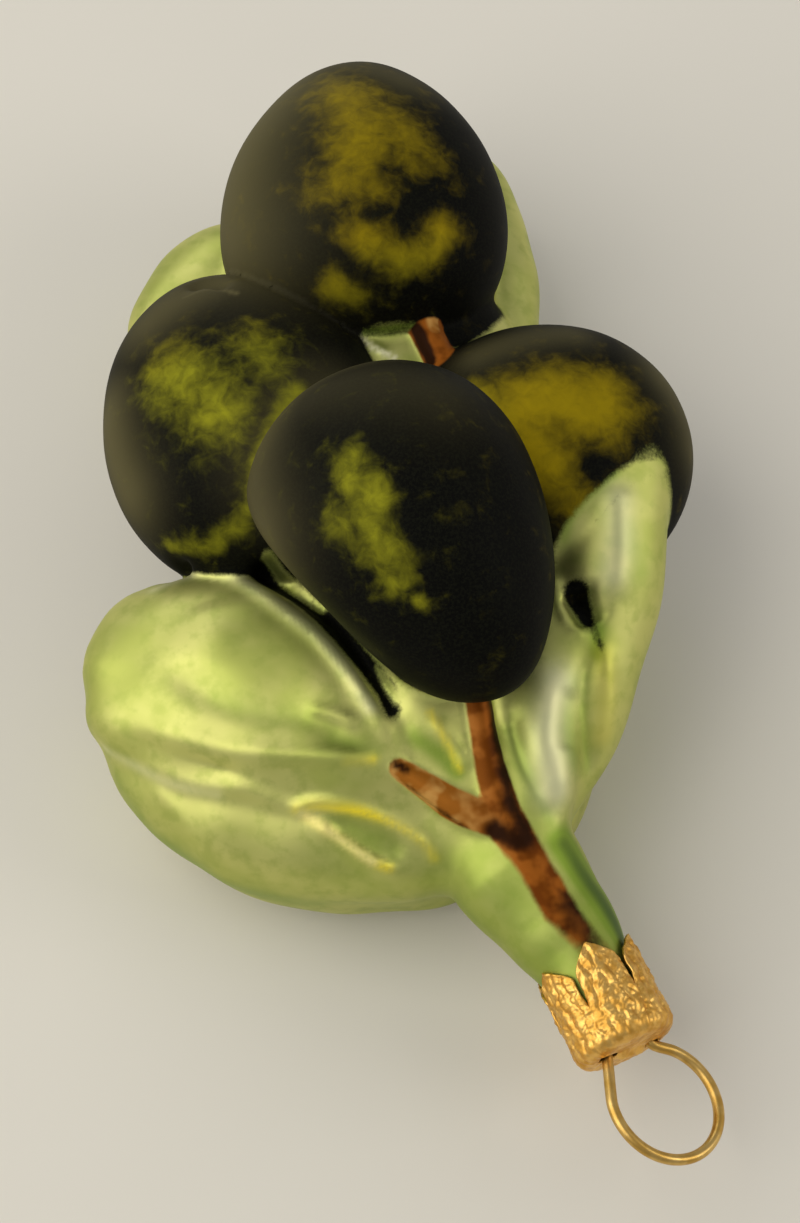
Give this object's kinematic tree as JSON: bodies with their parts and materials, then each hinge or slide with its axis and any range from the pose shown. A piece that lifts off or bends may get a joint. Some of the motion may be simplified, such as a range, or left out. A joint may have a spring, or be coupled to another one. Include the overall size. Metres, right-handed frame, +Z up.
{
  "type": "blown glass olive branch ornament",
  "caption": "Hollow blown-glass hanging ornament shaped as an olive branch with leaves and fruit, with a stamped crown cap and a wire loop.",
  "frame": {"origin": "middle of the bounding box, on the surface the ornament lies on", "axes": "+Y from the wire loop to the top of the cluster, +Z up out of the surface, +X to the right seen from the cap"},
  "size_m": [0.0696, 0.1266, 0.0496],
  "materials": {
    "lacquered_glass": "silvered inside, satin olive-green, black and brown lacquer outside, opaque",
    "gold_cap": "gold-coloured stamped sheet, bark-like relief",
    "gold_wire": "gold-coloured drawn wire"
  },
  "bodies": {
    "root": {"glass_body": "lacquered_glass", "crown_cap": "gold_cap", "hanger_wire": "gold_wire"}
  },
  "joints": []
}
